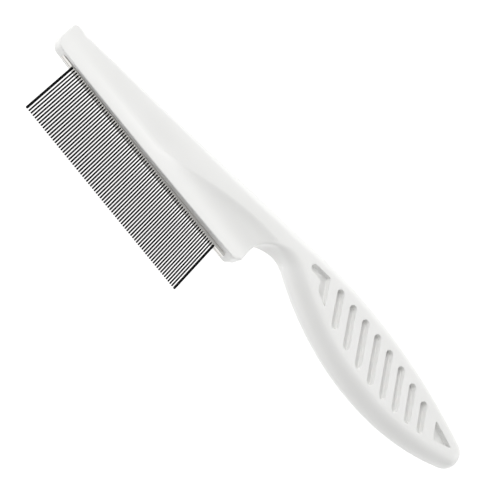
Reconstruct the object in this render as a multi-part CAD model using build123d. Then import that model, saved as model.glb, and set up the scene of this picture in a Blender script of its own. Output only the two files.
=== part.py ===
from build123d import *
import math
import os

# Flea comb: a white moulded handle with a long flat head, and a row of steel pins
# held in a folded steel sleeve that is pressed into a groove under the head.
#
# Working frame, in millimetres: X runs along the row of pins, from the toe of the
# head (-X) to the butt of the grip (+X). The pins point to -Y, and Y = 0 is the height
# of the head's underside at the toe. Z = 0 is the middle of the comb's thickness, and
# the comb is the same on both faces. Each piece is shifted at the end, so that the comb
# lies on its back face with the origin under the middle of its outline.

# ---- Overall ----
HALF_GRIP = 4.9            # half the thickness of the grip
EDGE_ROUND = 4.5           # radius of the rounded sides of spine, neck and grip
TOE_X = -41.0              # free end of the head
HEEL_X = 41.0              # upright wall of the head, beside the finger notch

# ---- Row of pins ----
ROW_LENGTH = 64.6          # between the axes of the two guard pins
FINE_PINS = 75
PINS_PER_NODE = 3
GUARD_STEP = 1.0           # from a guard pin's axis to the first fine pin's axis
PIN_TIP_Y = -19.5          # the pins' round tips
PIN_ROOT_Y = 3.8           # and their ends inside the sleeve
FINE_DIAMETER = 0.5
GUARD_DIAMETER = 0.78
PIN_CLEARANCE = 0.01       # between a pin and the bedding round it

# ---- Folded sleeve and its groove ----
SLEEVE_HALF_LENGTH = 36.5
SLEEVE_LIP_Y = -0.3        # the sleeve's lips stand proud of the head's underside
SLEEVE_TOP_Y = 4.4
SLEEVE_WIDTH = 1.6
SLEEVE_SHEET = 0.3
BEDDING_SINK = 0.08        # how far the bedding lies below the sleeve's lips
MOUTH_RELIEF = 0.12        # extra width on each side of the groove at its mouth
MOUTH_DEPTH = 1.3          # height up to which the mouth is wider

# ---- Head: thin wing for the pins, thick spine along the back ----
WING_HALF_TOE = 1.95       # half thickness of the wing at the toe
WING_HALF_HEEL = 3.05      # and at the heel
UNDERSIDE_RISE = 0.9       # how far the underside climbs from toe to heel
UNDERSIDE_SAG = 0.4        # and how far its middle hangs below that straight line
BACK_TOE_Y = 9.2           # back edge at the toe
BACK_SLOPE = 0.178         # and its climb towards the neck
SPINE_FULL_X = 40.0        # from here on the spine is as thick as the grip
CREST_TOE_Y = 4.3          # crest line between wing and spine, at X = 0
CREST_SLOPE = 0.322
CREST_BEND_X = 18.0        # from here on the crest levels out towards the neck
CREST_BEND = 0.0046
COVE_WIDTH = 8.0           # width of the hollow that climbs from wing to crest
COVE_STEEP = 3.0           # its steepest part, just under the crest
HEAD_END_X = 51.0          # hidden end of the head, inside the neck
NECK_TUCK = 0.05           # how far the head's surfaces lie inside the neck's
HEAD_SPANS = 24            # straight spans between the head's cross-sections
TOE_CORNER = 3.0
HEEL_CHAMFER = 2.2

# ---- Finger notch between the heel and the grip ----
NOTCH_RADIUS = 8.0
NOTCH_Y = 7.34             # height of the notch's centre
NOTCH_LEVELS = 9           # steps of its flare on each face

# ---- Leaf-shaped grip: two arcs and a round butt ----
NECK_X = 46.0              # hidden start of the neck, inside the head
LOWER_RADIUS = 91.0
LOWER_CENTRE = (95.0, 95.0)
UPPER_RADIUS = 189.0
UPPER_CENTRE = (92.0, -158.9)
BUTT_RADIUS = 5.4

# ---- Blind pockets in both faces of the grip ----
POCKET_DEPTH = 1.8
SLOT_COUNT = 8
SLOT_WIDTH = 2.7
SLOT_PITCH = 6.47
SLOT_LEAN = math.radians(29)
SLOT_AXIS_Y = 17.0         # height at which the slots' places are counted
FIRST_SLOT_X = 73.9
SLOT_LOWER_INSET = 7.1     # from the lower outline to the first slot's end centre
SLOT_LOWER_GAIN = 0.1      # each next slot reaches this much closer to the outline
SLOT_UPPER_INSET = 7.4     # from the upper outline to the slots' end centres
FIRST_SLOT_GAIN = 0.5      # the first slot reaches this much closer
CELL_LOWER_INSET = 6.4     # from the outlines to the cell at the neck
CELL_UPPER_INSET = 5.7
TAIL_LOWER_INSET = 5.8     # and to the cell at the butt
TAIL_UPPER_INSET = 6.1
NECK_CELL_X = 59.2         # round end of the hooked cell at the neck
NECK_CELL_RADIUS = 1.25
NECK_CELL_EDGE_X = 68.3    # slanting edge of that cell, at SLOT_AXIS_Y
NECK_CELL_INNER_X = 64.3   # and the inner edge of its slanting arm
TAIL_CELL_EDGE_X = 126.1   # slanting edge of the three-sided cell at the butt
FAR = 300.0                # longer than anything here, for cutting


def back_y(x):
    """Back edge of the head at station x."""
    return BACK_TOE_Y + BACK_SLOPE * (x - TOE_X)


def underside_y(x):
    """Underside of the head at station x."""
    share = (x - TOE_X) / (HEEL_X - TOE_X)
    return UNDERSIDE_RISE * share - 4 * UNDERSIDE_SAG * share * (1 - share)


def wing_half(x):
    """Half thickness of the wing at station x."""
    return WING_HALF_TOE + (WING_HALF_HEEL - WING_HALF_TOE) * (x - TOE_X) / (HEEL_X - TOE_X)


def spine_share(x):
    """0 where the spine is level with the wing, 1 where it has the grip's thickness."""
    u = min(max(x / SPINE_FULL_X, 0.0), 1.0)
    return u * u * (3 - 2 * u)


def crest_y(x):
    """Crest between the cove and the spine at station x."""
    straight = CREST_TOE_Y + CREST_SLOPE * max(x, 0.0)
    return straight - CREST_BEND * max(x - CREST_BEND_X, 0.0) ** 2


def head_section(x):
    """Cross-section of the head: underside, wing, cove, spine and rounded back edge."""
    wing = wing_half(x)
    spine = wing + (HALF_GRIP - NECK_TUCK - wing) * spine_share(x)
    scale = spine / HALF_GRIP
    crest = crest_y(x)
    reach = min(max(x / SPINE_FULL_X, 0.1), 1.0)
    cove = COVE_WIDTH * (1 - (1 - reach) ** 2)
    steep = COVE_STEEP * reach
    r = EDGE_ROUND * scale
    back = back_y(x)
    land = spine - r
    mid = r * (1 - math.sqrt(0.5))
    bottom = underside_y(x)

    def point(y, z):
        return Vector(x, y, z)

    def half(side):
        """The edges of one face, from the underside to the back land."""
        s = side
        return [
            Line(point(bottom, s * wing), point(crest - cove, s * wing)),
            Bezier(
                point(crest - cove, s * wing),
                point(crest - steep, s * wing),
                point(crest, s * spine),
            ),
            Line(point(crest, s * spine), point(back - r, s * spine)),
            ThreePointArc(
                point(back - r, s * spine),
                point(back - mid, s * (spine - mid)),
                point(back, s * land),
            ),
        ]

    edges = half(1) + [Line(point(back, land), point(back, -land))] + half(-1)
    edges.append(Line(point(bottom, -wing), point(bottom, wing)))
    return make_face(Wire(edges))


def notch_circle(level, inset):
    """Outline of the finger notch at one level, wider by inset and tangent to the heel."""
    r = NOTCH_RADIUS + NECK_TUCK + inset
    return Plane((HEEL_X + r, NOTCH_Y, level)) * Circle(r)


def notch_cutter():
    """The finger notch: upright at the heel, flaring into the rounded side of the neck."""
    land = HALF_GRIP - EDGE_ROUND
    turns = [math.radians(90) * i / NOTCH_LEVELS for i in range(NOTCH_LEVELS + 1)]
    flare = [
        (land + EDGE_ROUND * math.sin(turn), EDGE_ROUND * (1 - math.cos(turn)))
        for turn in turns
    ]
    circles = [notch_circle(-level, inset) for level, inset in reversed(flare)]
    circles += [notch_circle(level, inset) for level, inset in flare]
    below = Pos(HEEL_X, NOTCH_Y, 0) * Box(
        4 * NOTCH_RADIUS,
        4 * NOTCH_RADIUS,
        4 * HALF_GRIP,
        align=(Align.MIN, Align.MAX, Align.CENTER),
    )
    return [loft(circles, ruled=True), below]


def toe_corner_cutter():
    """What rounds the corner of the toe beside the pins."""
    r = TOE_CORNER
    block = Box(2 * r, 2 * r, 4 * HALF_GRIP) - Pos(r, r, 0) * Cylinder(r, 5 * HALF_GRIP)
    return Pos(TOE_X, underside_y(TOE_X), 0) * block


def head():
    """The flat head with its spine, cut away at the finger notch."""
    step = (HEAD_END_X - TOE_X) / HEAD_SPANS
    stations = [TOE_X + i * step for i in range(HEAD_SPANS + 1)]
    body = loft([head_section(x) for x in stations], ruled=True)
    for cutter in notch_cutter() + [toe_corner_cutter()]:
        body -= cutter
    corner = Pos(HEEL_X, underside_y(HEEL_X), 0) * Rot(0, 0, 45)
    side = HEEL_CHAMFER * math.sqrt(2)
    return body - corner * Box(side, side, 4 * HALF_GRIP)


def arc_height(centre, radius, x, side):
    """Y of a circle at station x, on its lower (-1) or upper (+1) side."""
    return centre[1] + side * math.sqrt(radius ** 2 - (x - centre[0]) ** 2)


def butt_centre():
    """Centre of the round butt, tangent inside both outline arcs."""
    lower = LOWER_RADIUS - BUTT_RADIUS
    upper = UPPER_RADIUS - BUTT_RADIUS
    return circles_meet(LOWER_CENTRE, lower, UPPER_CENTRE, upper)


def circles_meet(a, ra, b, rb):
    """The point of larger X where two circles meet."""
    dx = b[0] - a[0]
    dy = b[1] - a[1]
    gap = math.hypot(dx, dy)
    along = (ra ** 2 - rb ** 2 + gap ** 2) / (2 * gap)
    across = math.sqrt(ra ** 2 - along ** 2)
    x = a[0] + along * dx / gap
    y = a[1] + along * dy / gap
    first = (x - across * dy / gap, y + across * dx / gap)
    second = (x + across * dy / gap, y - across * dx / gap)
    return max(first, second)


def towards(centre, radius, point):
    """The point of a circle on the ray from its centre through a given point."""
    reach = math.dist(centre, point)
    return tuple(c + radius * (p - c) / reach for c, p in zip(centre, point))


def leaf_outline():
    """Outline of neck and grip, from the finger notch round the butt to the back."""
    notch = (HEEL_X + NOTCH_RADIUS, NOTCH_Y)
    butt = butt_centre()
    start = (NECK_X, arc_height(notch, NOTCH_RADIUS, NECK_X, 1))
    join = towards(LOWER_CENTRE, LOWER_RADIUS, notch)
    lower_end = towards(LOWER_CENTRE, LOWER_RADIUS, butt)
    upper_end = towards(UPPER_CENTRE, UPPER_RADIUS, butt)
    finish = (NECK_X, arc_height(UPPER_CENTRE, UPPER_RADIUS, NECK_X, 1))
    notch_top = (notch[0], notch[1] + NOTCH_RADIUS)
    lowest = (LOWER_CENTRE[0], LOWER_CENTRE[1] - LOWER_RADIUS)
    highest = (UPPER_CENTRE[0], UPPER_CENTRE[1] + UPPER_RADIUS)
    butt_tip = (butt[0] + BUTT_RADIUS, butt[1])
    return Wire([
        ThreePointArc(start, notch_top, join),
        ThreePointArc(join, lowest, lower_end),
        ThreePointArc(lower_end, butt_tip, upper_end),
        ThreePointArc(upper_end, highest, finish),
        Line(finish, start),
    ])


def grip():
    """Neck and grip with their rounded sides, before the pockets are cut."""
    blank = extrude(make_face(leaf_outline()), HALF_GRIP, both=True)
    rims = [
        edge
        for edge in blank.edges().filter_by(GeomType.CIRCLE)
        if abs(abs(edge.center().Z) - HALF_GRIP) < 0.01
    ]
    return fillet(rims, EDGE_ROUND)


def slot_end(x, centre, radius, side):
    """Where the slanting axis through (x, SLOT_AXIS_Y) meets a circle."""
    run = (-math.sin(SLOT_LEAN), math.cos(SLOT_LEAN))
    px = x - centre[0]
    py = SLOT_AXIS_Y - centre[1]
    half = px * run[0] + py * run[1]
    root = math.sqrt(half ** 2 - (px ** 2 + py ** 2 - radius ** 2))
    t = -half + side * root
    return (x + t * run[0], SLOT_AXIS_Y + t * run[1])


def slots():
    """Plan of the parallel slanting slots with their round ends."""
    plan = []
    for i in range(SLOT_COUNT):
        x = FIRST_SLOT_X + i * SLOT_PITCH
        lower_inset = SLOT_LOWER_INSET - i * SLOT_LOWER_GAIN
        upper_inset = SLOT_UPPER_INSET - (FIRST_SLOT_GAIN if i == 0 else 0)
        low = slot_end(x, LOWER_CENTRE, LOWER_RADIUS - lower_inset, -1)
        high = slot_end(x, UPPER_CENTRE, UPPER_RADIUS - upper_inset, 1)
        plan.append(SlotCenterToCenter(math.dist(low, high), SLOT_WIDTH).locate(
            Location(((low[0] + high[0]) / 2, (low[1] + high[1]) / 2), math.degrees(SLOT_LEAN) + 90)
        ))
    return plan


def inner_leaf(lower_inset, upper_inset):
    """The leaf inside which an end cell lies."""
    low = Pos(*LOWER_CENTRE) * Circle(LOWER_RADIUS - lower_inset)
    high = Pos(*UPPER_CENTRE) * Circle(UPPER_RADIUS - upper_inset)
    return low & high


def slanting_half(x, side):
    """Everything to one side of the slanting line through (x, SLOT_AXIS_Y)."""
    align = (Align.MIN if side > 0 else Align.MAX, Align.CENTER)
    plane = Location((x, SLOT_AXIS_Y), math.degrees(SLOT_LEAN))
    return plane * Rectangle(FAR, FAR, align=align)


def neck_cell():
    """Hooked cell at the neck: an arm along the upper edge and a slanting arm."""
    r = NECK_CELL_RADIUS
    crown = arc_height(UPPER_CENTRE, UPPER_RADIUS - CELL_UPPER_INSET, NECK_CELL_X, 1)
    arms = slanting_half(NECK_CELL_INNER_X, 1)
    arms += Pos(NECK_CELL_X, crown - 2 * r) * Rectangle(FAR, FAR, align=(Align.MIN, Align.MIN))
    cell = inner_leaf(CELL_LOWER_INSET, CELL_UPPER_INSET) & arms
    cell &= slanting_half(NECK_CELL_EDGE_X, -1)
    return cell + Pos(NECK_CELL_X, crown - r) * Circle(r)


def tail_cell():
    """Three-sided cell at the butt."""
    leaf = inner_leaf(TAIL_LOWER_INSET, TAIL_UPPER_INSET)
    return leaf & slanting_half(TAIL_CELL_EDGE_X, 1)


def pockets():
    """All the blind pockets, cut into both faces."""
    floor = HALF_GRIP - POCKET_DEPTH
    tools = []
    for plan in slots() + [neck_cell(), tail_cell()]:
        for level in (floor, -floor):
            height = math.copysign(POCKET_DEPTH + 1, level)
            tools.append(extrude(Pos(0, 0, level) * plan, height, dir=(0, 0, 1)))
    return tools


def groove():
    """Groove for the sleeve, with a wider mouth that leaves a shadow line."""
    length = 2 * SLEEVE_HALF_LENGTH
    align = (Align.CENTER, Align.MAX, Align.CENTER)
    deep = Pos(0, SLEEVE_TOP_Y, 0) * Box(length, 2 * SLEEVE_TOP_Y, SLEEVE_WIDTH, align=align)
    mouth = Pos(0, MOUTH_DEPTH, 0) * Box(
        length,
        2 * SLEEVE_TOP_Y,
        SLEEVE_WIDTH + 2 * MOUTH_RELIEF,
        align=align,
    )
    return deep + mouth


def handle():
    """The whole moulding: head, neck and grip in one piece."""
    body = head() + grip()
    return body - pockets() - groove()


def sleeve():
    """Steel strip folded in a U round the pin roots."""
    length = 2 * SLEEVE_HALF_LENGTH
    height = SLEEVE_TOP_Y - SLEEVE_LIP_Y
    low = (Align.CENTER, Align.MIN, Align.CENTER)
    outside = Box(length, height, SLEEVE_WIDTH, align=low)
    fold = outside.edges().filter_by(Axis.X).group_by(Axis.Y)[-1]
    outside = fillet(fold, SLEEVE_SHEET)
    inside = Box(length, height - SLEEVE_SHEET, SLEEVE_WIDTH - 2 * SLEEVE_SHEET, align=low)
    return Pos(0, SLEEVE_LIP_Y, 0) * (outside - inside)


def guard_places():
    """X of the two guard pins."""
    return [-ROW_LENGTH / 2, ROW_LENGTH / 2]


def fine_places():
    """X of every fine pin, evenly spaced between the guard pins."""
    first = -ROW_LENGTH / 2 + GUARD_STEP
    pitch = (ROW_LENGTH - 2 * GUARD_STEP) / (FINE_PINS - 1)
    return [first + i * pitch for i in range(FINE_PINS)]


def rod(x, diameter, low, high):
    """A round bar along Y at station x."""
    plane = Plane((x, low, 0), x_dir=(1, 0, 0), z_dir=(0, 1, 0))
    return extrude(plane * Circle(diameter / 2), high - low)


def pin(x, diameter):
    """A pin with a round tip, from its tip to its root in the sleeve."""
    r = diameter / 2
    return rod(x, diameter, PIN_TIP_Y + r, PIN_ROOT_Y) + Pos(x, PIN_TIP_Y + r, 0) * Sphere(r)


def bedding():
    """Solder that fills the sleeve, with a blind hole for each pin."""
    bottom = SLEEVE_LIP_Y + BEDDING_SINK
    fill = Pos(0, bottom, 0) * Box(
        2 * SLEEVE_HALF_LENGTH,
        SLEEVE_TOP_Y - SLEEVE_SHEET - bottom,
        SLEEVE_WIDTH - 2 * SLEEVE_SHEET,
        align=(Align.CENTER, Align.MIN, Align.CENTER),
    )
    hole_end = PIN_ROOT_Y + PIN_CLEARANCE
    holes = [
        rod(x, diameter + 2 * PIN_CLEARANCE, 2 * SLEEVE_LIP_Y, hole_end)
        for places, diameter in ((fine_places(), FINE_DIAMETER), (guard_places(), GUARD_DIAMETER))
        for x in places
    ]
    return fill - holes


def pieces():
    """Every node of the comb, by name, in the working frame."""
    made = {"handle": handle(), "pin_sleeve": sleeve(), "pin_bedding": bedding()}
    for name, x in zip(("guard_tooth_toe", "guard_tooth_heel"), guard_places()):
        made[name] = pin(x, GUARD_DIAMETER)
    places = fine_places()
    for i in range(0, FINE_PINS, PINS_PER_NODE):
        group = [pin(x, FINE_DIAMETER) for x in places[i:i + PINS_PER_NODE]]
        made[f"fine_teeth_{i // PINS_PER_NODE + 1:02d}"] = Compound(group)
    return made


def shift_to_origin():
    """Move the middle of the outline over the origin, and the back face to Z = 0."""
    butt_x = butt_centre()[0] + BUTT_RADIUS
    back = UPPER_CENTRE[1] + UPPER_RADIUS
    return Location((-(TOE_X + butt_x) / 2, -(back + PIN_TIP_Y) / 2, HALF_GRIP))


os.makedirs("parts", exist_ok=True)
for name, piece in pieces().items():
    export_step(shift_to_origin() * piece, f"parts/{name}.step")
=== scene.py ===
import math

import bmesh
import bpy
import numpy as np
from mathutils import Matrix, Vector
from mathutils.geometry import delaunay_2d_cdt


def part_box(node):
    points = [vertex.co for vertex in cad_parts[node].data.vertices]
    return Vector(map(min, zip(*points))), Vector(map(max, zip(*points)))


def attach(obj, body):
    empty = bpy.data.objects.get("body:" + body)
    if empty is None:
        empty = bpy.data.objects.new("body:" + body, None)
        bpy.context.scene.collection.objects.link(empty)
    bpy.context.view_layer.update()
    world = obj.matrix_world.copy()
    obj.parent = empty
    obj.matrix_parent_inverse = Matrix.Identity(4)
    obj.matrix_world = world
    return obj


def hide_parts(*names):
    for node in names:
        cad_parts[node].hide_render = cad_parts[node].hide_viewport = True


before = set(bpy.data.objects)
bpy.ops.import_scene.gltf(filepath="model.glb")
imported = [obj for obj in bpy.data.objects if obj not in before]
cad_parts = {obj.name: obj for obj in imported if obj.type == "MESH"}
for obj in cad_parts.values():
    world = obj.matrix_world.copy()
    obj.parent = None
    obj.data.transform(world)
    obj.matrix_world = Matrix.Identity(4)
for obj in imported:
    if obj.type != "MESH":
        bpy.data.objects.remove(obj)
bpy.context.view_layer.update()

# Flea comb: a white moulded handle and a row of steel pins in a folded sleeve.
#
# The handle is worked out in millimetres in the comb's own axes: X runs along the row of
# pins from the toe to the butt, the pins point to -Y, Y = 0 is the underside of the toe,
# and Z = 0 is the middle of the thickness. place() moves it into the frame.

MM = 0.001
PIN_REACH = 19.5             # from Y = 0 to the tips of the pins

# ---- Plan of the handle ----
TOE_X = -41.0
HEEL_X = 41.0
UNDERSIDE_RISE = 0.9         # climb of the head's underside from toe to heel
UNDERSIDE_SAG = 0.4          # and how far its middle hangs below that straight line
BACK_TOE_Y = 9.2             # back edge at the toe
BACK_SLOPE = 0.178           # and its climb towards the neck
BACK_MERGE = (44.0, 58.0)    # where the straight back turns into the grip's upper arc
TOE_ROUND = (3.0, 1.6)       # radii of the toe's lower and upper corners
HEEL_START_X = 38.8          # bevel at the bottom of the heel
HEEL_TOP_Y = 2.8
HEEL_ROUND = 0.8
NOTCH = (49.0, 7.34)         # centre of the finger notch
NOTCH_RADIUS = 8.0
LOWER = (95.0, 95.0)         # centre of the grip's lower outline
LOWER_RADIUS = 91.0
UPPER = (92.0, -158.9)       # centre of the grip's upper outline
UPPER_RADIUS = 189.0
BUTT_RADIUS = 5.4
OUTLINE_STEP = 1.1           # longest step along the outline
ARC_TURN = 0.16              # and largest turn between two points of an arc, in radians
SAME_POINT = 1e-4            # points of an outline closer than this are one point
TINY = 1e-6                  # tolerance of comparisons

# ---- Thickness ----
HALF_GRIP = 4.9
WING_HALF = (1.95, 3.05)     # half thickness of the wing at the toe and at the heel
SPINE_FULL_X = 40.0          # from here on the spine is as thick as the grip
NECK_FILL = (42.0, 54.0)     # where the wing swells into the neck
CREST_TOE_Y = 4.3            # crest between wing and spine, at X = 0
CREST_SLOPE = 0.322
CREST_BEND_X = 18.0          # from here on the crest levels out towards the neck
CREST_BEND = 0.0046
COVE_WIDTH = 8.0             # hollow that climbs from the wing to the crest
COVE_STEEP = 2.2
CREST_SOFT = 0.65            # half width over which the crest is rounded
CREST_SAMPLES = (-1.0, -0.5, 0.0, 0.5, 1.0)   # where the rounding is averaged, in half widths
COVE_START = 0.1             # part of the hollow's full width that it has near the toe
DISH = (0.28, 0.5)           # depth of the wing's hollow towards the toe and the heel
DISH_WIDTH = 12.5
SPINE_TILT = 0.04            # the spine falls this much per millimetre from the back

# ---- Rounded edges ----
SIDE_ROUND = 5.0             # sides of grip and neck, centred on the middle plane
UNDERSIDE_ROUND = 0.35       # lower edge of the head
TOE_WALL_ROUND = 0.6         # edges of the toe's and the heel's end walls
HEEL_WALL_ROUND = 0.8
TOE_BLEND = (1.2, 6.0)       # from the toe, where its edge turns into the back's
HEEL_BLEND = 1.0             # run before the bevel where the edge turns into the heel's
TOE_BACK_SHARE = 0.7         # share of the toe's upper corner that goes with the back
ABOVE_BACK = 100.0           # a height above every back edge
NECK_ROUND = (43.0, 56.0)    # where the neck's lower edge turns from sharp to round
EDGE_RINGS = 9               # rows of faces round an edge
EDGE_PASSES = 4              # passes that find where the edge meets the face
SEAM_HALF = 0.12             # half width of the moulding seam
SEAM_DEPTH = 0.07

# ---- Pockets ----
POCKET_FLOOR = 3.1           # height of the pockets' floors above the middle plane
SLOT_COUNT = 8
SLOT_WIDTH = 2.7
SLOT_PITCH = 6.47
SLOT_LEAN = math.radians(29)
SLOT_AXIS_Y = 17.0
FIRST_SLOT_X = 73.9
SLOT_INSETS = (7.1, 7.4)     # from the lower and the upper outline to the end centres
SLOT_LOWER_GAIN = 0.1        # each next slot reaches this much closer to the lower outline
FIRST_SLOT_GAIN = 0.5        # and the first slot to the upper one
CELL_INSETS = (6.4, 5.7)     # from the outlines to the cell at the neck
TAIL_INSETS = (5.8, 6.1)     # and to the cell at the butt
NECK_CELL_X = 59.2
NECK_CELL_RADIUS = 1.25      # round end of the cell at the neck
NECK_CELL_POINTS = 9
NECK_CELL_EDGES = (64.3, 68.3)   # slanting edges of the hooked cell, at SLOT_AXIS_Y
TAIL_CELL_X = 126.1
CELL_CORNER = 0.4            # radius of the cells' inner corners
CELL_ELBOW = 0.6             # and of the one outer corner, at the elbow
SMOOTH_TURN = 0.3            # corners that turn less than this are smoothed along curves
SMOOTH_RADIUS = 4.0
CORNER_ROOM = 0.45           # share of a side that the rounding of one corner may take
CELL_STEP = 0.7              # longest step along the cells' outlines
RIM_ROUND = 0.2              # rounded rim of every pocket
FLOOR_ROUND = 0.25           # and fillet round its floor
RIM_RINGS = 4
WALL_ROWS = (0.33, 0.66)     # rows of points down a pocket's wall, as shares of its height

# ---- Groove for the sleeve ----
GROOVE_HALF_LENGTH = 36.5
GROOVE_HALF = 0.8
GROOVE_TOP_Y = 4.4
MOUTH_HALF = 0.92
MOUTH_TOP_Y = 1.3            # height up to which the mouth is wider
MOUTH_BEVEL = 0.1
MOUTH_MARGIN = 0.2           # room above UNDERSIDE_RISE for outline points of the underside

# ---- Points on the faces ----
GRID = 1.15                  # spacing of the points
ROW_RATIO = 0.87             # spacing of the rows, for nearly even triangles
RIM_GAP = 0.5                # room beside an outline, in spacings
CREST_GAP = 0.4              # and beside the crest's rows
CREST_RUN = (2.0, 48.0)      # stations between which the crest has rows of its own
WELD = 1e-7                  # vertices closer than this, in metres, are one vertex

# ---- Stage ----
CAMERA_EYE = (-59.0, -194.56, 302.42)    # in the comb's own millimetres
CAMERA_AIM = (41.59, 8.98, 0.0)
CAMERA_ROLL = math.radians(73.417)
CAMERA_LENS = 92.16          # focal length for a sensor of the width below
CAMERA_SENSOR = 36
WORLD_STRENGTH = 0.305
FLOOR_SIZE = 6               # metres
FLOOR_DROP = 0.0002          # gap between the floor and the comb, in metres
FLOOR_GREY = 0.3
FLOOR_GLOW = 0.95            # the floor shines a little, so that it stays white
SOFT_BOX_SIZE = 0.6          # metres
SOFT_BOXES = {               # each soft box's place in metres, and its power
    "toe_box": ((-0.65, 0.0, 0.6), 4.3),
    "butt_box": ((0.8, 0.2, 0.45), 4.0),
    "back_box": ((0, 0.8, 0.41), 2.9),
    "pin_box": ((-0.55, -0.6, 0.45), 0.9),
}


def place(points):
    """Points in the comb's own millimetres, as vectors in the frame's metres."""
    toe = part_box("guard_tooth_toe")
    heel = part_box("guard_tooth_heel")
    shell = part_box("handle")
    origin = Vector((
        (toe[0].x + heel[1].x) / 2,
        toe[0].y + PIN_REACH * MM,
        (shell[0].z + shell[1].z) / 2,
    ))
    return [origin + MM * Vector(p) for p in points]


# ---------------------------------------------------------------- plan of the handle

def smoothstep(value, low, high):
    """A smooth climb from 0 at low to 1 at high."""
    u = np.clip((np.asarray(value, float) - low) / (high - low), 0, 1)
    return u * u * (3 - 2 * u)


def mix(a, b, share):
    """The value that lies this share of the way from a to b."""
    return a + (b - a) * share


def arc(centre, radius, start, end, step=OUTLINE_STEP):
    """Points of an arc between two angles, both ends included."""
    fine = min(step, radius * ARC_TURN)
    count = max(2, math.ceil(abs(end - start) * radius / fine))
    angles = np.linspace(start, end, count + 1)
    x = centre[0] + radius * np.cos(angles)
    y = centre[1] + radius * np.sin(angles)
    return np.stack([x, y], 1)


def segment(a, b, step=OUTLINE_STEP):
    """Points of a straight line, both ends included."""
    count = max(1, math.ceil(math.dist(a, b) / step))
    return np.linspace(a, b, count + 1)


def rounded(corners, radii, step=OUTLINE_STEP):
    """An open chain of straight lines whose inner corners are rounded."""
    pieces = []
    last = np.array(corners[0], float)
    for before, corner, after, radius in zip(corners, corners[1:], corners[2:], radii):
        corner = np.array(corner, float)
        back = np.array(before, float) - corner
        ahead = np.array(after, float) - corner
        back /= np.linalg.norm(back)
        ahead /= np.linalg.norm(ahead)
        half = math.acos(np.clip(back @ ahead, -1, 1)) / 2
        bisector = (back + ahead) / np.linalg.norm(back + ahead)
        centre = corner + bisector * radius / math.sin(half)
        start = corner + back * radius / math.tan(half)
        end = corner + ahead * radius / math.tan(half)
        first = math.atan2(*(start - centre)[::-1])
        turn = math.atan2(*(end - centre)[::-1]) - first
        turn = (turn + math.pi) % (2 * math.pi) - math.pi
        pieces += [segment(last, start, step), arc(centre, radius, first, first + turn, step)]
        last = end
    pieces.append(segment(last, corners[-1], step))
    return chain(pieces)


def chain(pieces):
    """Joins runs of points and drops repeated ones."""
    points = np.concatenate(pieces)
    gaps = np.linalg.norm(np.diff(points, axis=0), axis=1)
    return points[np.concatenate([[True], gaps > SAME_POINT])]


def underside(x):
    """Height of the head's underside at station x."""
    share = (x - TOE_X) / (HEEL_X - TOE_X)
    return UNDERSIDE_RISE * share - 4 * UNDERSIDE_SAG * share * (1 - share)


def back_edge(x):
    """Back of the comb: straight on the head, then the grip's upper arc."""
    straight = BACK_TOE_Y + BACK_SLOPE * (x - TOE_X)
    curved = UPPER[1] + np.sqrt(UPPER_RADIUS ** 2 - (x - UPPER[0]) ** 2)
    return mix(straight, curved, smoothstep(x, *BACK_MERGE))


def circles_meet(a, ra, b, rb):
    """The point of larger X where two circles meet."""
    gap = math.dist(a, b)
    along = (ra ** 2 - rb ** 2 + gap ** 2) / (2 * gap)
    across = math.sqrt(ra ** 2 - along ** 2)
    ux = (b[0] - a[0]) / gap
    uy = (b[1] - a[1]) / gap
    return max(
        (a[0] + along * ux + side * across * uy, a[1] + along * uy - side * across * ux)
        for side in (-1, 1)
    )


def heading(start, end):
    """Direction from one point to another, as an angle."""
    return math.atan2(end[1] - start[1], end[0] - start[0])


def outline():
    """Points of the plan outline, counter-clockwise from the toe's end of the underside."""
    butt = circles_meet(LOWER, LOWER_RADIUS - BUTT_RADIUS, UPPER, UPPER_RADIUS - BUTT_RADIUS)
    corner_x = TOE_X + 2 * TOE_ROUND[1]
    foot_x = TOE_X + 2 * TOE_ROUND[0]
    under_x = np.arange(foot_x, HEEL_START_X - HEEL_ROUND, OUTLINE_STEP)
    bottom = np.stack([under_x, underside(under_x)], 1)
    heel = rounded(
        [
            bottom[-1],
            (HEEL_START_X, underside(HEEL_START_X)),
            (HEEL_X, HEEL_TOP_Y),
            (HEEL_X, NOTCH[1]),
        ],
        [HEEL_ROUND, HEEL_ROUND],
    )
    notch = arc(NOTCH, NOTCH_RADIUS, math.pi, heading(NOTCH, LOWER))
    lower = arc(LOWER, LOWER_RADIUS, heading(LOWER, NOTCH), heading(LOWER, butt))
    end = arc(butt, BUTT_RADIUS, heading(LOWER, butt), heading(UPPER, butt))
    back_x = np.arange(end[-1][0], corner_x, -OUTLINE_STEP)
    back = np.stack([back_x, back_edge(back_x)], 1)
    toe = rounded(
        [
            (corner_x, back_edge(corner_x)),
            (TOE_X, back_edge(TOE_X)),
            (TOE_X, underside(TOE_X)),
            (foot_x, underside(foot_x)),
        ],
        [TOE_ROUND[1], TOE_ROUND[0]],
    )
    runs = [bottom, heel, notch, lower, end, back, toe]
    points = chain(runs)
    if np.linalg.norm(points[0] - points[-1]) < SAME_POINT:
        points = points[:-1]
    return points


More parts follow.
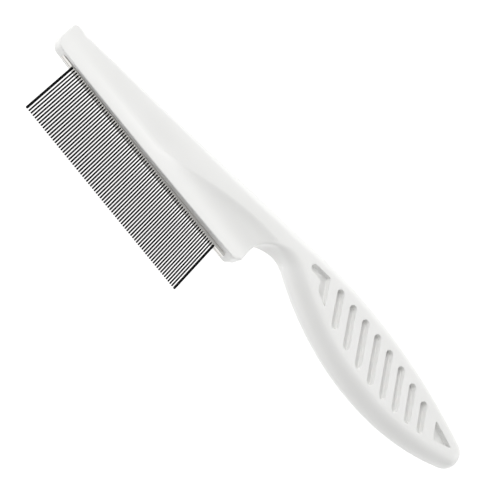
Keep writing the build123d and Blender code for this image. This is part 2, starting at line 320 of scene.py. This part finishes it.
def edge_radius(points):
    """Radius of the rounded edge at each outline point."""
    x = points[:, 0]
    y = points[:, 1]
    radius = np.full(len(points), SIDE_ROUND)
    spine = surface(x, y + ABOVE_BACK)
    on_back = (x < NECK_FILL[1]) & (y > back_edge(x) - TOE_BACK_SHARE * TOE_ROUND[1])
    radius[on_back] = SIDE_ROUND / HALF_GRIP * spine[on_back]
    toe = smoothstep(x, TOE_X + TOE_BLEND[0], TOE_X + TOE_BLEND[1])
    radius[on_back] = mix(TOE_WALL_ROUND, radius, toe)[on_back]
    low = ~on_back & (x < NECK_FILL[1])
    notch = smoothstep(x, *NECK_ROUND)
    radius[low] = mix(HEEL_WALL_ROUND, SIDE_ROUND, notch)[low]
    wall = smoothstep(x, HEEL_START_X - HEEL_BLEND, HEEL_X)
    flat = low & (x < HEEL_X - TINY) & (y < HEEL_TOP_Y)
    radius[flat] = mix(UNDERSIDE_ROUND, HEEL_WALL_ROUND, wall)[flat]
    front = ~on_back & (x < TOE_X + TOE_ROUND[0])
    corner = smoothstep(x, TOE_X, TOE_X + TOE_ROUND[0])
    radius[front] = mix(TOE_WALL_ROUND, UNDERSIDE_ROUND, corner)[front]
    return radius


def surface(x, y):
    """Half thickness of the comb at a point of its plan, without edges and pockets."""
    x = np.asarray(x, float)
    y = np.asarray(y, float)
    total = sum(sharp_surface(x, y + shift * CREST_SOFT) for shift in CREST_SAMPLES)
    return total / len(CREST_SAMPLES)


def crest_line(x):
    """Height of the crest at station x."""
    straight = CREST_TOE_Y + CREST_SLOPE * np.maximum(x, 0)
    return straight - CREST_BEND * np.maximum(x - CREST_BEND_X, 0) ** 2


def sharp_surface(x, y):
    """The same with a sharp crest: wing, hollow and spine."""
    run = np.clip((x - TOE_X) / (HEEL_X - TOE_X), 0, 1)
    wing = mix(*WING_HALF, run)
    wing = mix(wing, HALF_GRIP, smoothstep(x, *NECK_FILL))
    share = smoothstep(x, 0, SPINE_FULL_X)
    head = 1 - smoothstep(x, *NECK_FILL)
    tilt = SPINE_TILT * np.clip(back_edge(x) - SIDE_ROUND - y, 0, COVE_WIDTH)
    spine = mix(wing, HALF_GRIP, share) - tilt * head
    reach = np.clip(x / SPINE_FULL_X, COVE_START, 1)
    cove = COVE_WIDTH * (1 - (1 - reach) ** 2)
    steep = COVE_STEEP * reach
    below = np.clip(crest_line(x) - y, 0, cove)
    linear = cove - steep
    root = np.sqrt(linear ** 2 - (cove - 2 * steep) * (cove - below))
    climb = ((cove - below) / (linear + root)) ** 2
    dish = mix(*DISH, share) * (1 - np.cos(2 * math.pi * np.clip(y / DISH_WIDTH, 0, 1))) / 2
    return mix(wing, spine, climb) - dish * (1 - climb * share) * head


def inward_normals(points):
    """Unit normals of a closed counter-clockwise outline, pointing inside."""
    along = np.roll(points, -1, axis=0) - np.roll(points, 1, axis=0)
    along /= np.linalg.norm(along, axis=1)[:, None]
    return np.stack([-along[:, 1], along[:, 0]], 1)


# ---------------------------------------------------------------- pockets

def slot_end(x, centre, radius, side):
    """Where the slanting axis through (x, SLOT_AXIS_Y) meets a circle."""
    run = np.array([-math.sin(SLOT_LEAN), math.cos(SLOT_LEAN)])
    offset = np.array([x, SLOT_AXIS_Y]) - centre
    half = offset @ run
    root = math.sqrt(half ** 2 - (offset @ offset - radius ** 2))
    return np.array([x, SLOT_AXIS_Y]) + (side * root - half) * run


def slot_plan(number):
    """A slanting slot with round ends, counter-clockwise, counted from the neck."""
    x = FIRST_SLOT_X + number * SLOT_PITCH
    lower_inset = SLOT_INSETS[0] - number * SLOT_LOWER_GAIN
    upper_inset = SLOT_INSETS[1] - (FIRST_SLOT_GAIN if number == 0 else 0)
    low = slot_end(x, LOWER, LOWER_RADIUS - lower_inset, -1)
    high = slot_end(x, UPPER, UPPER_RADIUS - upper_inset, 1)
    radius = SLOT_WIDTH / 2
    turn = heading(low, high)
    ends = [
        arc(high, radius, turn - math.pi / 2, turn + math.pi / 2),
        arc(low, radius, turn + math.pi / 2, turn + 3 * math.pi / 2),
    ]
    left = segment(ends[0][-1], ends[1][0])
    right = segment(ends[1][-1], ends[0][0])
    return chain([ends[0], left, ends[1], right])[:-1]


def slanting_x(x, y):
    """X, at height y, of the slanting line through (x, SLOT_AXIS_Y)."""
    return x - (y - SLOT_AXIS_Y) * math.tan(SLOT_LEAN)


def follow(centre, radius, side, start_x, end_x):
    """Points of a large circle between two stations, as corners of a chain."""
    count = max(2, math.ceil(abs(end_x - start_x) / OUTLINE_STEP))
    xs = np.linspace(start_x, end_x, count)
    return [(x, centre[1] + side * math.sqrt(radius ** 2 - (x - centre[0]) ** 2)) for x in xs]


def closed_plan(corners):
    """A closed outline whose sharp corners are rounded, from its corner points in order."""
    corners = [np.array(c, float) for c in corners]
    middle = (corners[-1] + corners[0]) / 2
    ring = [middle] + corners + [middle]
    radii = []
    for before, corner, after in zip(ring, ring[1:], ring[2:]):
        turn = heading(corner, after) - heading(before, corner)
        turn = (turn + math.pi) % (2 * math.pi) - math.pi
        radius = CELL_CORNER if turn > 0 else CELL_ELBOW
        if abs(turn) < SMOOTH_TURN:
            radius = SMOOTH_RADIUS
        room = min(math.dist(before, corner), math.dist(corner, after)) * CORNER_ROOM
        radii.append(min(radius, room / math.tan(abs(turn) / 2 + TINY)))
    return rounded(ring, radii, CELL_STEP)[:-1]


def neck_cell_plan():
    """Hooked cell at the neck: an arm along the upper edge and a slanting arm."""
    low = LOWER_RADIUS - CELL_INSETS[0]
    high = UPPER_RADIUS - CELL_INSETS[1]
    r = NECK_CELL_RADIUS
    crown = UPPER[1] + math.sqrt(high ** 2 - (NECK_CELL_X - UPPER[0]) ** 2)
    inner, outer = NECK_CELL_EDGES
    tip = slot_end(outer, LOWER, low, -1)
    heel = slot_end(inner, LOWER, low, -1)
    top = slot_end(outer, UPPER, high, 1)
    elbow = (slanting_x(inner, crown - 2 * r), crown - 2 * r)
    corners = follow(LOWER, low, -1, heel[0], tip[0])
    corners += follow(UPPER, high, 1, top[0], NECK_CELL_X)
    turns = np.linspace(math.pi / 2, 3 * math.pi / 2, NECK_CELL_POINTS)[1:]
    corners += [(NECK_CELL_X + r * math.cos(a), crown - r + r * math.sin(a)) for a in turns]
    corners.append(elbow)
    return closed_plan(corners)


def tail_cell_plan():
    """Three-sided cell at the butt."""
    low = LOWER_RADIUS - TAIL_INSETS[0]
    high = UPPER_RADIUS - TAIL_INSETS[1]
    start = slot_end(TAIL_CELL_X, LOWER, low, -1)
    top = slot_end(TAIL_CELL_X, UPPER, high, 1)
    tip = circles_meet(LOWER, low, UPPER, high)
    corners = follow(LOWER, low, -1, start[0], tip[0])
    corners += follow(UPPER, high, 1, tip[0], top[0])[1:]
    return closed_plan(corners)


def pocket_plans():
    """The outline of every pocket."""
    slots = [slot_plan(number) for number in range(SLOT_COUNT)]
    return slots + [neck_cell_plan(), tail_cell_plan()]


# ---------------------------------------------------------------- mesh of the handle

class Shell:
    """Vertices and faces of the handle, gathered for the face above the middle plane."""

    def __init__(self):
        self.points = []
        self.faces = []

    def ring(self, plan, height):
        """Adds a closed row of points and returns their indices."""
        start = len(self.points)
        heights = np.broadcast_to(height, len(plan))
        self.points += [(p[0], p[1], z) for p, z in zip(plan, heights)]
        return list(range(start, len(self.points)))

    def band(self, outer, inner):
        """Quads between two rows; outer runs counter-clockwise round inner."""
        for i in range(len(outer)):
            j = (i + 1) % len(outer)
            self.faces.append((outer[i], outer[j], inner[j], inner[i]))


def add_side(shell, plan):
    """The rounded edge all round, as rows from the middle plane to the face."""
    radius = edge_radius(plan)
    normals = inward_normals(plan)
    reach = radius.copy()
    for _ in range(EDGE_PASSES):
        edge = plan + reach[:, None] * normals
        top = surface(edge[:, 0], edge[:, 1])
        within = np.minimum(top, radius)
        reach = radius - np.sqrt(np.maximum(radius ** 2 - within ** 2, 0))
    base = np.maximum(top - radius, 0)
    last = np.arcsin(np.clip(within / radius, 0, 1))
    first = np.where(base > SEAM_HALF, 0, np.arcsin(np.minimum(SEAM_HALF / radius, 1)))
    rows = []
    for j in range(EDGE_RINGS + 1):
        angle = first + (last - first) * j / EDGE_RINGS
        inset = radius * (1 - np.cos(angle)) * (j > 0)
        rows.append(shell.ring(plan + inset[:, None] * normals, base + radius * np.sin(angle)))
    for outer, inner in zip(rows, rows[1:]):
        shell.band(outer, inner)
    return rows


def add_pocket(shell, plan):
    """Rounded rim, upright wall, filleted floor. Returns the rim's outermost row."""
    normals = inward_normals(plan)
    rows = []
    for j in range(RIM_RINGS + 1):
        angle = math.pi / 2 * (1 - j / RIM_RINGS)
        out = plan - RIM_ROUND * (1 - math.cos(angle)) * normals
        rows.append(shell.ring(out, HALF_GRIP - RIM_ROUND * (1 - math.sin(angle))))
    fillet = POCKET_FLOOR + FLOOR_ROUND
    for depth in WALL_ROWS:
        rows.append(shell.ring(plan, fillet + (HALF_GRIP - RIM_ROUND - fillet) * (1 - depth)))
    for j in range(RIM_RINGS + 1):
        angle = math.pi / 2 * j / RIM_RINGS
        inset = plan + FLOOR_ROUND * (1 - math.cos(angle)) * normals
        rows.append(shell.ring(inset, fillet - FLOOR_ROUND * math.sin(angle)))
    for outer, inner in zip(rows, rows[1:]):
        shell.band(outer, inner)
    shell.faces.append(tuple(rows[-1]))
    return rows[0]


def inside(points, polygon):
    """Which points lie inside a closed polygon."""
    x = points[:, 0][:, None]
    y = points[:, 1][:, None]
    ax, ay = polygon[:, 0][None], polygon[:, 1][None]
    bx, by = np.roll(polygon[:, 0], -1)[None], np.roll(polygon[:, 1], -1)[None]
    spans = (ay > y) != (by > y)
    slope = np.where(by == ay, 1, by - ay)
    crosses = spans & (x < (bx - ax) * (y - ay) / slope + ax)
    return crosses.sum(1) % 2 == 1


def clearance(points, polygon):
    """Distance from each point to a closed polygon's sides."""
    a = polygon[None]
    run = (np.roll(polygon, -1, axis=0) - polygon)[None]
    offset = points[:, None] - a
    share = np.clip((offset * run).sum(2) / (run ** 2).sum(2), 0, 1)
    return np.linalg.norm(offset - share[..., None] * run, axis=2).min(1)


def face_points(boundary, holes):
    """Staggered points over a face, kept off its outline and its pockets."""
    xs = np.arange(TOE_X, boundary[:, 0].max(), GRID)
    ys = np.arange(0, boundary[:, 1].max(), GRID * ROW_RATIO)
    grid_x, grid_y = np.meshgrid(xs, ys)
    grid_x = grid_x + (np.arange(len(ys)) % 2)[:, None] * GRID / 2
    points = np.stack([grid_x.ravel(), grid_y.ravel()], 1)
    points = points[inside(points, boundary)]
    points = points[clearance(points, boundary) > RIM_GAP * GRID]
    for hole in holes:
        points = points[~inside(points, hole)]
        points = points[clearance(points, hole) > RIM_GAP * GRID]
    return points


def crest_rows(boundary):
    """Rows of points along the crest, close enough to carry its rounding."""
    rows = []
    for shift in CREST_SAMPLES:
        x = np.arange(*CREST_RUN, GRID)
        y = crest_line(x) + shift * CREST_SOFT
        row = np.stack([x, y], 1)
        row = row[inside(row, boundary)]
        rows.append(row[clearance(row, boundary) > CREST_GAP * GRID])
    return rows


def fixed_edges(loops, rows):
    """Edges that the triangles keep, for points in the order of the loops and the rows."""
    edges = []
    base = 0
    for loop in loops:
        edges += [(base + i, base + (i + 1) % len(loop)) for i in range(len(loop))]
        base += len(loop)
    for row in rows:
        edges += [(base + i, base + i + 1) for i in range(len(row) - 1)]
        base += len(row)
    return edges


def add_face(shell, boundary, holes):
    """Fills the face between the rounded side and the pockets' rims with triangles."""
    coords = np.array(shell.points)
    loops = [boundary] + holes
    rims = [coords[loop, :2] for loop in loops]
    crest = crest_rows(rims[0])
    free = face_points(rims[0], rims[1:])
    middle_x, middle_y = crest[len(crest) // 2].T
    crest_y = np.interp(free[:, 0], middle_x, middle_y, left=-np.inf, right=-np.inf)
    free = free[np.abs(free[:, 1] - crest_y) > CREST_SOFT + CREST_GAP * GRID]
    free = np.concatenate(crest + [free])
    index = [i for loop in loops for i in loop]
    start = len(shell.points)
    height = surface(free[:, 0], free[:, 1])
    shell.points += [(p[0], p[1], z) for p, z in zip(free, height)]
    index += list(range(start, len(shell.points)))
    flat = [Vector((shell.points[i][0], shell.points[i][1])) for i in index]
    result = delaunay_2d_cdt(flat, fixed_edges(loops, crest), [], 1, TINY)
    where = [originals[0] if originals else None for originals in result[3]]
    triangles = [t for t in result[2] if all(where[i] is not None for i in t)]
    centres = np.array([np.mean([flat[where[i]] for i in t], axis=0) for t in triangles])
    keep = inside(centres, rims[0])
    for rim in rims[1:]:
        keep &= ~inside(centres, rim)
    for triangle, kept in zip(triangles, keep):
        if kept:
            shell.faces.append(tuple(index[where[i]] for i in triangle))


def groove_section(base):
    """One side of the groove's section, from its mouth at height base, as (Z, Y) pairs."""
    return [
        (MOUTH_HALF + MOUTH_BEVEL, base),
        (MOUTH_HALF, base + MOUTH_BEVEL),
        (MOUTH_HALF, MOUTH_TOP_Y),
        (GROOVE_HALF, MOUTH_TOP_Y + MOUTH_BEVEL),
        (GROOVE_HALF, GROOVE_TOP_Y),
    ]


def without_repeats(face):
    """A face's vertices, each only once where it is named twice in a row."""
    return [v for n, v in enumerate(face) if v != face[n - 1]]


def add_groove(points, faces, top, low, plan):
    """The walls at the middle plane: the sleeve's groove under the head, a seam elsewhere.

    top and low are the rows of points at the upper and the lower end of the wall."""
    normals = inward_normals(plan)
    count = len(plan)
    at_sleeve = np.abs(plan[:, 0]) <= GROOVE_HALF_LENGTH
    under = at_sleeve & (plan[:, 1] < UNDERSIDE_RISE + MOUTH_MARGIN)
    rows = {}

    def add(point):
        points.append(point)
        return len(points) - 1

    for i, p in enumerate(plan):
        if under[i]:
            section = groove_section(p[1])
            rows[i] = [top[i]]
            rows[i] += [add((p[0], y, z)) for z, y in section]
            rows[i] += [add((p[0], y, -z)) for z, y in reversed(section)]
            rows[i].append(low[i])
        else:
            high = top[i]
            deep = low[i]
            if points[top[i]][2] > SEAM_HALF + TINY:
                high = add((p[0], p[1], SEAM_HALF))
                deep = add((p[0], p[1], -SEAM_HALF))
            seam = p + SEAM_DEPTH * normals[i]
            rows[i] = [top[i], high, add((seam[0], seam[1], 0.0)), deep, low[i]]
    for i in range(count):
        j = (i + 1) % count
        a, b = rows[i], rows[j]
        if under[i] == under[j]:
            for k in range(len(a) - 1):
                face = without_repeats([a[k + 1], b[k + 1], b[k], a[k]])
                if len(face) > 2:
                    faces.append(tuple(face))
        else:
            deep, plain = (a, b) if under[i] else (b, a)
            mouth = [deep[0], deep[1], deep[-2], deep[-1]]
            faces.append(tuple(without_repeats(mouth + plain[::-1])))
            faces.append(tuple(deep[1:-1]))


def build_handle():
    """The moulded handle as one closed mesh."""
    plan = outline()
    shell = Shell()
    side = add_side(shell, plan)
    rims = [add_pocket(shell, pocket) for pocket in pocket_plans()]
    add_face(shell, side[-1], rims)
    count = len(shell.points)
    mirrored = [tuple(i + count for i in reversed(face)) for face in shell.faces]
    points = shell.points + [(x, y, -z) for x, y, z in shell.points]
    faces = shell.faces + mirrored
    low = [i + count for i in side[0]]
    add_groove(points, faces, side[0], low, plan)
    mesh = bpy.data.meshes.new("moulded_handle")
    mesh.from_pydata(place(points), [], faces)
    mesh.update()
    bm = bmesh.new()
    bm.from_mesh(mesh)
    bmesh.ops.remove_doubles(bm, verts=bm.verts, dist=WELD)
    bmesh.ops.recalc_face_normals(bm, faces=bm.faces)
    big = [f for f in bm.faces if len(f.verts) > 4]
    bmesh.ops.triangulate(bm, faces=big)
    bm.to_mesh(mesh)
    bm.free()
    piece = bpy.data.objects.new("moulded_handle", mesh)
    bpy.context.scene.collection.objects.link(piece)
    mesh.shade_smooth()
    weigh = piece.modifiers.new("weighted_normals", "WEIGHTED_NORMAL")
    weigh.keep_sharp = True
    return piece


# ---------------------------------------------------------------- materials

def new_material(name):
    """An empty node material, with its nodes and links."""
    material = bpy.data.materials.new(name)
    material.use_nodes = True
    return material, material.node_tree.nodes, material.node_tree.links


def noise(nodes, scale, detail):
    """A noise texture."""
    node = nodes.new("ShaderNodeTexNoise")
    node.inputs["Scale"].default_value = scale
    node.inputs["Detail"].default_value = detail
    return node


def two_tone(nodes, dark, light):
    """A mix of two colours."""
    node = nodes.new("ShaderNodeMix")
    node.data_type = "RGBA"
    node.inputs["A"].default_value = (*dark, 1)
    node.inputs["B"].default_value = (*light, 1)
    return node


def spread(nodes, low, high):
    """A map from the 0 to 1 of a texture to another range."""
    node = nodes.new("ShaderNodeMapRange")
    node.inputs["To Min"].default_value = low
    node.inputs["To Max"].default_value = high
    return node


def relief(nodes, strength, distance):
    """A bump of the given strength and depth."""
    node = nodes.new("ShaderNodeBump")
    node.inputs["Strength"].default_value = strength
    node.inputs["Distance"].default_value = distance
    return node


def connect(links, shader, tint, gloss, bump):
    """Feeds a shader's colour, roughness and normal."""
    links.new(tint.outputs["Result"], shader.inputs["Base Color"])
    links.new(gloss.outputs["Result"], shader.inputs["Roughness"])
    links.new(bump.outputs["Normal"], shader.inputs["Normal"])


def plastic_material():
    """White moulded plastic: satin, with faint flow mottling and a fine moulded grain."""
    material, nodes, links = new_material("white_plastic")
    where = nodes.new("ShaderNodeTexCoord")
    mottle = noise(nodes, 60, 3)
    grain = noise(nodes, 2500, 4)
    tint = two_tone(nodes, (0.80, 0.80, 0.785), (0.84, 0.84, 0.83))
    gloss = spread(nodes, 0.36, 0.48)
    bump = relief(nodes, 0.12, 0.00005)
    links.new(where.outputs["Object"], mottle.inputs["Vector"])
    links.new(where.outputs["Object"], grain.inputs["Vector"])
    links.new(mottle.outputs["Fac"], tint.inputs["Factor"])
    links.new(mottle.outputs["Fac"], gloss.inputs["Value"])
    links.new(grain.outputs["Fac"], bump.inputs["Height"])
    connect(links, nodes["Principled BSDF"], tint, gloss, bump)
    return material


def steel_material(name, dark, light, rough, stretch, scale):
    """Drawn or rolled steel: fine streaks along one axis in colour, gloss and bump."""
    material, nodes, links = new_material(name)
    shader = nodes["Principled BSDF"]
    shader.inputs["Metallic"].default_value = 1.0
    where = nodes.new("ShaderNodeTexCoord")
    mapping = nodes.new("ShaderNodeMapping")
    mapping.inputs["Scale"].default_value = stretch
    streaks = noise(nodes, scale, 5)
    tint = two_tone(nodes, dark, light)
    gloss = spread(nodes, *rough)
    bump = relief(nodes, 0.15, 0.00002)
    links.new(where.outputs["Object"], mapping.inputs["Vector"])
    links.new(mapping.outputs["Vector"], streaks.inputs["Vector"])
    links.new(streaks.outputs["Fac"], tint.inputs["Factor"])
    links.new(streaks.outputs["Fac"], gloss.inputs["Value"])
    links.new(streaks.outputs["Fac"], bump.inputs["Height"])
    connect(links, shader, tint, gloss, bump)
    return material


def pin_material():
    """Dark steel wire, drawn along Y and dull at its edges."""
    colours = (0.004, 0.004, 0.0045), (0.018, 0.018, 0.019)
    material = steel_material("pin_steel", *colours, (0.25, 0.4), (1, 0.05, 1), 3000)
    shader = material.node_tree.nodes["Principled BSDF"]
    shader.inputs["Specular Tint"].default_value = (0.1, 0.1, 0.1, 1)
    return material


def sleeve_material():
    """Bright steel strip, rolled along X."""
    colours = (0.82, 0.81, 0.79), (0.92, 0.91, 0.89)
    return steel_material("sleeve_steel", *colours, (0.32, 0.5), (0.05, 1, 1), 2500)


def solder_material():
    """Dull grey solder, without a direction."""
    colours = (0.72, 0.70, 0.67), (0.86, 0.84, 0.81)
    return steel_material("solder", *colours, (0.4, 0.6), (1, 1, 1), 900)


def clad(node, material):
    """Gives a CAD node a new material."""
    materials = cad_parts[node].data.materials
    materials.clear()
    materials.append(material)


# ---------------------------------------------------------------- stage

def add_floor():
    """A plain white floor under the comb."""
    bpy.ops.mesh.primitive_plane_add(size=FLOOR_SIZE)
    floor = bpy.context.object
    floor.name = "floor"
    floor.location.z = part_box("handle")[0].z - FLOOR_DROP
    material, nodes, links = new_material("floor_white")
    shader = nodes["Principled BSDF"]
    shader.inputs["Base Color"].default_value = (FLOOR_GREY, FLOOR_GREY, FLOOR_GREY, 1)
    shader.inputs["Roughness"].default_value = 1.0
    shader.inputs["Specular IOR Level"].default_value = 0.0
    shader.inputs["Emission Color"].default_value = (1, 1, 1, 1)
    shader.inputs["Emission Strength"].default_value = FLOOR_GLOW
    floor.data.materials.append(material)


def add_soft_box(name, position, power):
    """A square soft box that points at the comb's middle."""
    light = bpy.data.lights.new(name, "AREA")
    light.size = SOFT_BOX_SIZE
    light.energy = power
    lamp = bpy.data.objects.new(name, light)
    bpy.context.scene.collection.objects.link(lamp)
    lamp.location = position
    lamp.rotation_euler = (-Vector(position)).to_track_quat("-Z", "Y").to_euler()


def add_world():
    """An even white surround."""
    world = bpy.data.worlds.new("studio")
    world.use_nodes = True
    background = world.node_tree.nodes["Background"]
    background.inputs["Color"].default_value = (1, 1, 1, 1)
    background.inputs["Strength"].default_value = WORLD_STRENGTH
    bpy.context.scene.world = world


def add_camera():
    """The camera, above the pins' side of the toe, rolled so that the comb lies aslant."""
    data = bpy.data.cameras.new("camera")
    data.sensor_width = CAMERA_SENSOR
    data.lens = CAMERA_LENS
    camera = bpy.data.objects.new("camera", data)
    bpy.context.scene.collection.objects.link(camera)
    eye, aim = place([CAMERA_EYE, CAMERA_AIM])
    look = (aim - eye).to_track_quat("-Z", "Y").to_matrix().to_4x4()
    roll = Matrix.Rotation(CAMERA_ROLL, 4, "Z")
    camera.matrix_world = Matrix.Translation(eye) @ look @ roll
    bpy.context.scene.camera = camera


# ---------------------------------------------------------------- the whole comb

handle = build_handle()
handle.data.materials.append(plastic_material())
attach(handle, "root")
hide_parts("handle")

pin_steel = pin_material()
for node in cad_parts:
    if node.startswith(("fine_teeth", "guard_tooth")):
        clad(node, pin_steel)
clad("pin_sleeve", sleeve_material())
clad("pin_bedding", solder_material())

add_floor()
add_world()
for name, (position, power) in SOFT_BOXES.items():
    add_soft_box(name, position, power)
add_camera()
bpy.context.scene.view_settings.view_transform = "Standard"
